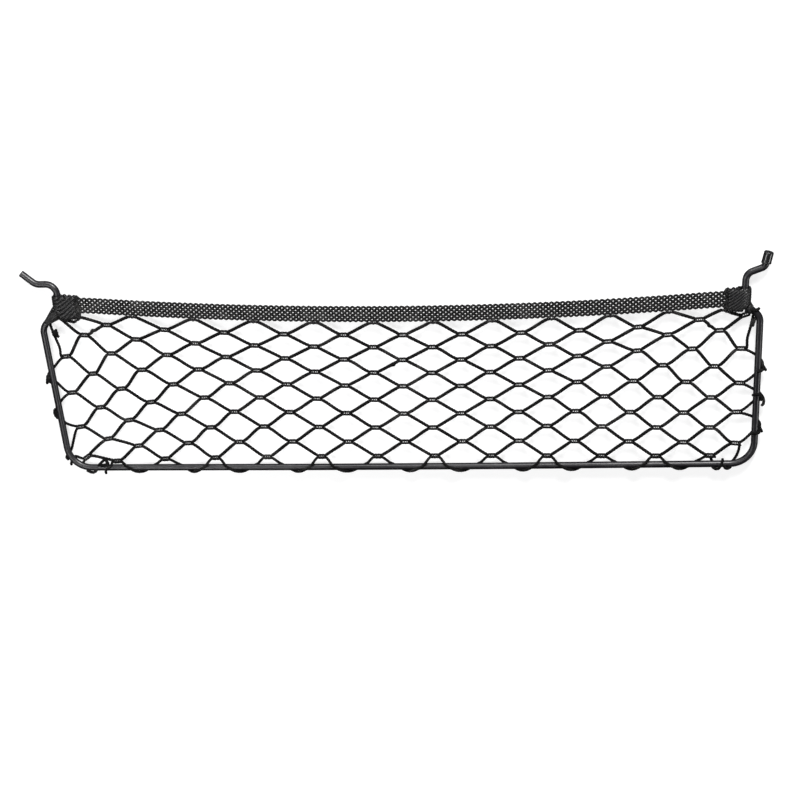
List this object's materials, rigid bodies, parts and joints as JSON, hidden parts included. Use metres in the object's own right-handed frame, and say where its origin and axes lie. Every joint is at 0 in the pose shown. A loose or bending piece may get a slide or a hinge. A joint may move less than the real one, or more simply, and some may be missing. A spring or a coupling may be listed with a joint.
{
  "type": "cargo net with bent rod frame",
  "caption": "Knotless diamond net hung from a braided band in a low U-shaped rod frame with two plug-in pins, lying on its back.",
  "frame": {"origin": "middle of the part's outline seen from above, on the surface that it lies on", "axes": "+X along the bottom rod towards the sleeved pin, +Y from the bottom rod to the band and pins, +Z off the surface, out of the net's front"},
  "size_m": [0.6707, 0.2064, 0.0112],
  "materials": {
    "coated_rod": "satin",
    "sleeve_plastic": "gloss",
    "band_yarn": "matt",
    "black_cord": "matt"
  },
  "bodies": {
    "root": {"frame_rod": "coated_rod", "pin_sleeve": "sleeve_plastic", "band": "band_yarn", "net": "black_cord", "tie_top_left": "black_cord", "tie_top_right": "black_cord", "tie_bottom_left_outer": "black_cord", "tie_bottom_left_inner": "black_cord", "tie_bottom_right_inner": "black_cord", "tie_bottom_right_outer": "black_cord"}
  },
  "joints": []
}
